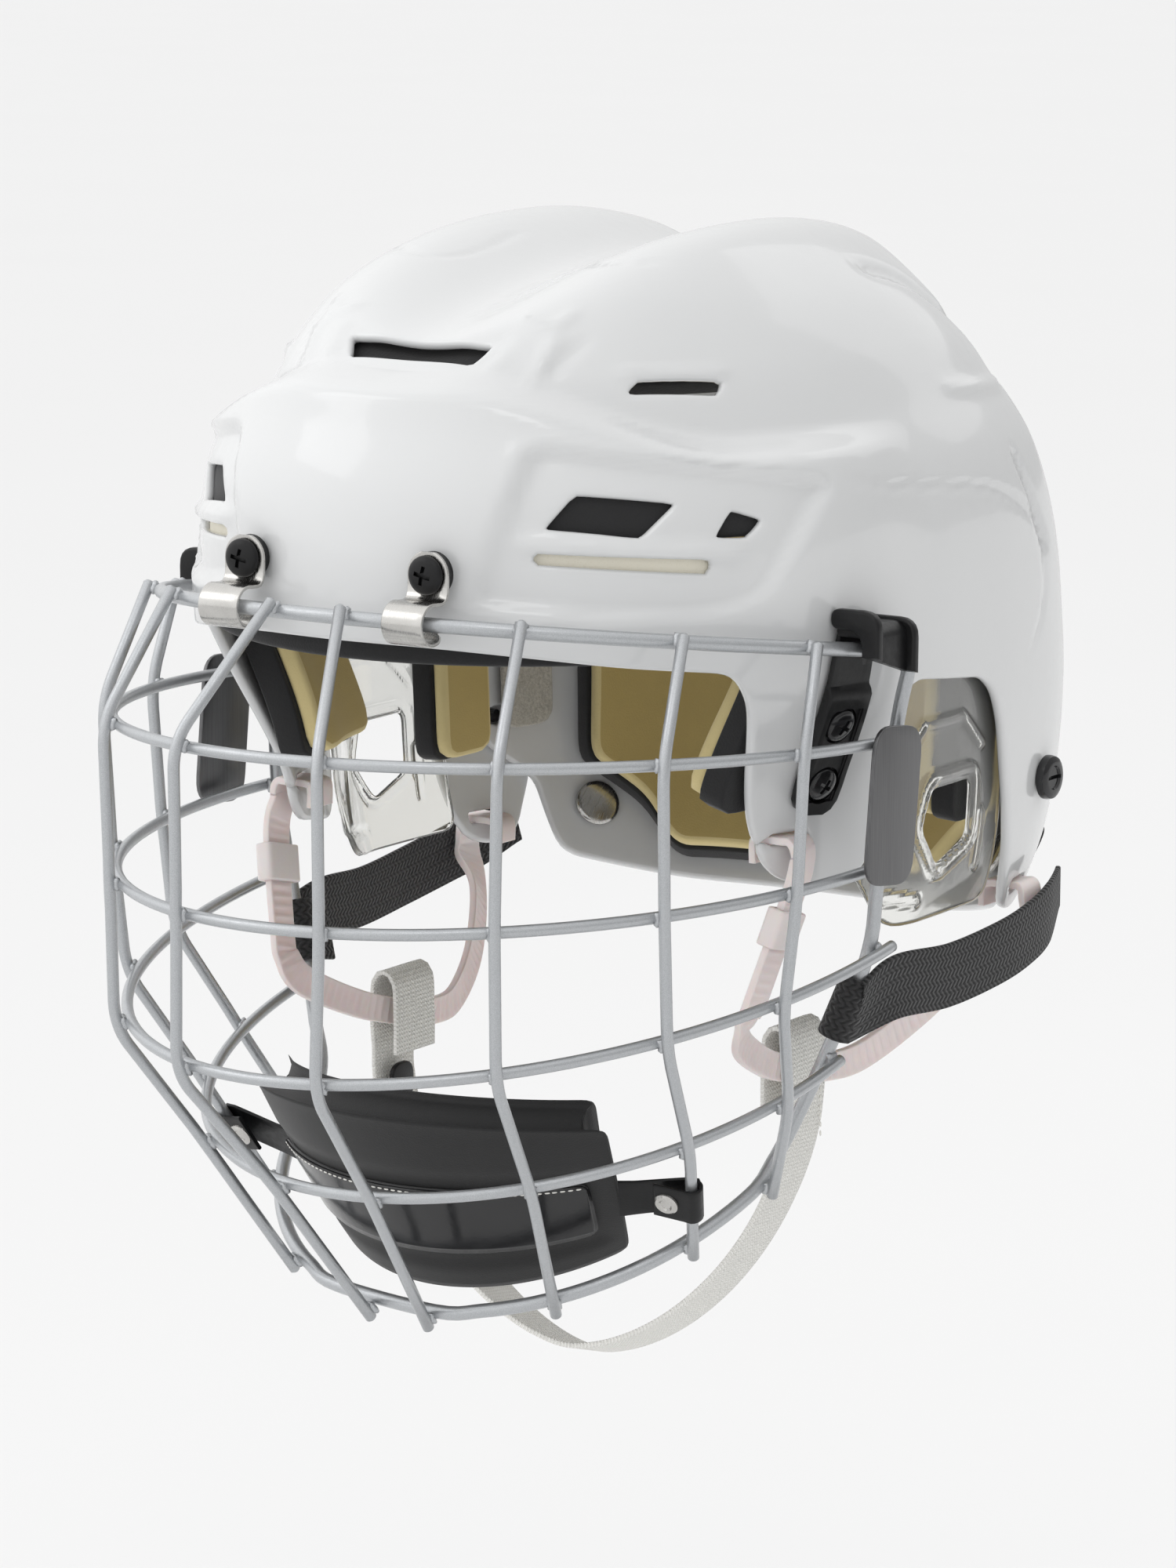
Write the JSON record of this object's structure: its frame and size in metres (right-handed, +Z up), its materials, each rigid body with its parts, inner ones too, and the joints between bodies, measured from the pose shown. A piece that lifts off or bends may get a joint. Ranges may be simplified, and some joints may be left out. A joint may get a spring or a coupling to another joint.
{
  "type": "hockey helmet cage",
  "caption": "Ice hockey helmet with a hinged wire face cage, padded two-piece shell that slides for size, ear guards, ear loops, chin cup and chin strap.",
  "frame": {"origin": "inside the head cavity, on the plane of symmetry, level with the ear openings and midway between their front and rear edges", "axes": "+Z up, -Y out of the face through the cage, +X towards the wearer's left"},
  "size_m": [0.2316, 0.3302, 0.332],
  "materials": {
    "white_shell": "smooth glossy injection moulding",
    "cage_paint": "satin grey powder coat",
    "plate_metal": "satin dark grey",
    "steel": "polished stainless",
    "black_plastic": "satin moulded",
    "tan_foam": "closed-cell foam with a fine cell pattern",
    "black_foam": "closed-cell foam",
    "plush": "short brushed pile",
    "clear_plastic": "clear moulded polycarbonate",
    "pink_plastic": "soft moulded strap, pale pink",
    "black_webbing": "woven webbing",
    "white_webbing": "woven webbing, off-white"
  },
  "bodies": {
    "helmet": {"brow_foam": "black_foam", "clip_screw_lower_left": "black_plastic", "clip_screw_lower_right": "black_plastic", "clip_screw_upper_left": "black_plastic", "clip_screw_upper_right": "black_plastic", "crown_pad": "black_foam", "ear_guard_left": "clear_plastic", "ear_guard_right": "clear_plastic", "ear_loop_left": "pink_plastic", "ear_loop_right": "pink_plastic", "front_shell": "white_shell", "j_clip_left": "steel", "j_clip_right": "steel", "j_screw_left": "black_plastic", "j_screw_right": "black_plastic", "j_spacer_left": "black_plastic", "j_spacer_right": "black_plastic", "side_clip_left": "black_plastic", "side_clip_right": "black_plastic", "side_pad_left": "tan_foam", "side_pad_right": "tan_foam", "size_screw_left": "black_plastic", "size_screw_right": "black_plastic", "temple_pad_left": "tan_foam", "temple_pad_right": "tan_foam"},
    "rear_half": {"plush_insert_left": "plush", "plush_insert_right": "plush", "rear_buckle_left": "black_plastic", "rear_buckle_right": "black_plastic", "rear_pad": "tan_foam", "rear_shell": "white_shell", "tee_nut_left": "steel", "tee_nut_right": "steel"},
    "cage": {"cage_bar_1": "cage_paint", "cage_bar_2": "cage_paint", "cage_bar_3": "cage_paint", "cage_bar_4": "cage_paint", "cage_frame": "cage_paint", "cage_upright_1_left": "cage_paint", "cage_upright_1_right": "cage_paint", "cage_upright_2_left": "cage_paint", "cage_upright_2_right": "cage_paint", "cage_upright_3_left": "cage_paint", "cage_upright_3_right": "cage_paint", "cage_upright_4_left": "cage_paint", "cage_upright_4_right": "cage_paint", "chin_cup": "black_foam", "chin_cup_band": "black_plastic", "chin_cup_tab_left": "black_plastic", "chin_cup_tab_right": "black_plastic", "name_plate_left": "plate_metal", "name_plate_right": "plate_metal"},
    "chin_strap": {"chin_strap": "white_webbing", "strap_snap": "steel", "strap_tab": "black_plastic"},
    "j_strap_left": {"j_strap_left": "black_webbing"},
    "j_strap_right": {"j_strap_right": "black_webbing"},
    "loop_sleeve_left": {"loop_sleeve_left": "pink_plastic"},
    "loop_sleeve_right": {"loop_sleeve_right": "pink_plastic"}
  },
  "joints": [
    {"name": "cage_flip", "type": "hinge", "parent": "helmet", "child": "cage", "pos_m": [0, -0.15764, 0.06484], "axis": [-1, 0, 0], "range_deg": [0, 100]},
    {"name": "size_slide", "type": "slide", "parent": "helmet", "child": "rear_half", "axis": [0, -1, 0], "range_m": [0, 0.01]},
    {"name": "chin_strap_swing", "type": "hinge", "parent": "helmet", "child": "chin_strap", "pos_m": [0, -0.024, -0.075], "axis": [1, 0, 0], "range_deg": [-30, 12]},
    {"name": "j_strap_left_swing", "type": "hinge", "parent": "cage", "child": "j_strap_left", "pos_m": [0.09346, -0.03926, -0.05318], "axis": [-0.3269, -0.1691, -0.9298], "range_deg": [0, 100]},
    {"name": "j_strap_right_swing", "type": "hinge", "parent": "cage", "child": "j_strap_right", "pos_m": [-0.09346, -0.03926, -0.05318], "axis": [-0.3269, 0.1691, 0.9298], "range_deg": [0, 100]},
    {"name": "loop_sleeve_left_slide", "type": "slide", "parent": "helmet", "child": "loop_sleeve_left", "axis": [-0.2357, -0.2357, -0.9428], "range_m": [0, 0.012]},
    {"name": "loop_sleeve_right_slide", "type": "slide", "parent": "helmet", "child": "loop_sleeve_right", "axis": [0.2357, -0.2357, -0.9428], "range_m": [0, 0.012]}
  ],
  "couplings": [
    {"joint": "j_strap_left_swing", "follows": "cage_flip", "ratio": 1},
    {"joint": "j_strap_right_swing", "follows": "cage_flip", "ratio": 1}
  ]
}
